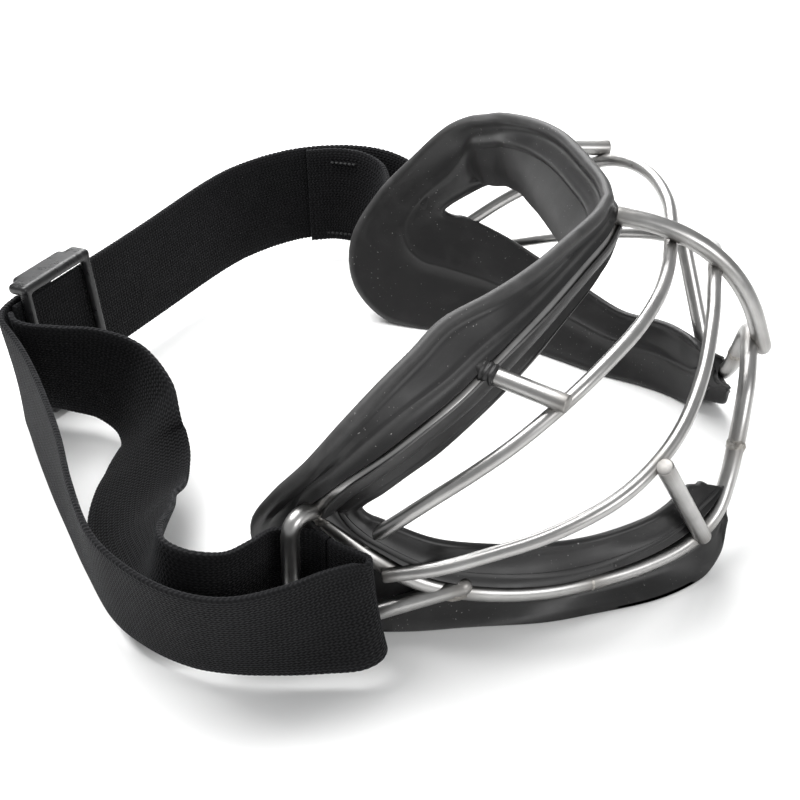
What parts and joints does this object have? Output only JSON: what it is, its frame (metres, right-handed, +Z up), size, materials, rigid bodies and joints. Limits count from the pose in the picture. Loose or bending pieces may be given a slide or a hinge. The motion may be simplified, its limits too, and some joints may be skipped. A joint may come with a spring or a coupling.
{
  "type": "sports protective goggles",
  "caption": "Women's field-sports protective goggles: welded steel wire cage over the eyes, black rubber gasket and a black elastic head strap with an adjuster.",
  "frame": {"origin": "centre of the bounding box's base, on the plane the goggles rest on", "axes": "+X to the wearer's left, -Y the way the wearer looks, +Z up as the goggles stand on a table"},
  "size_m": [0.2192, 0.207, 0.0837],
  "materials": {
    "steel": "satin",
    "weld": "matte",
    "gasket_rubber": "semi_gloss",
    "strap_webbing": "matte",
    "stitch_thread": "matte",
    "adjuster_plastic": "satin"
  },
  "bodies": {
    "frame": {"brow_wire": "steel", "lower_wire_right": "steel", "lower_wire_left": "steel", "nose_bridge": "steel", "centre_bar": "steel", "upper_cage_bar_right": "steel", "upper_cage_bar_left": "steel", "lower_cage_bar_right": "steel", "lower_cage_bar_left": "steel", "brow_strut_right": "steel", "brow_strut_left": "steel", "nose_strut_right": "steel", "nose_strut_left": "steel", "weld_beads": "weld", "gasket": "gasket_rubber"},
    "strap": {"strap_left_run": "strap_webbing", "strap_right_outer": "strap_webbing", "strap_right_inner": "strap_webbing", "strap_stitching": "stitch_thread"},
    "adjuster": {"adjuster_slide": "adjuster_plastic", "adjuster_tab": "strap_webbing"}
  },
  "joints": [
    {"name": "strap_tilt", "type": "hinge", "parent": "frame", "child": "strap", "pos_m": [0, 0.003, 0.0213], "axis": [1, 0, 0], "range_deg": [-8, 8]},
    {"name": "adjuster_travel", "type": "slide", "parent": "strap", "child": "adjuster", "axis": [0.9272, -0.3746, 0], "range_m": [0, 0.025]}
  ]
}
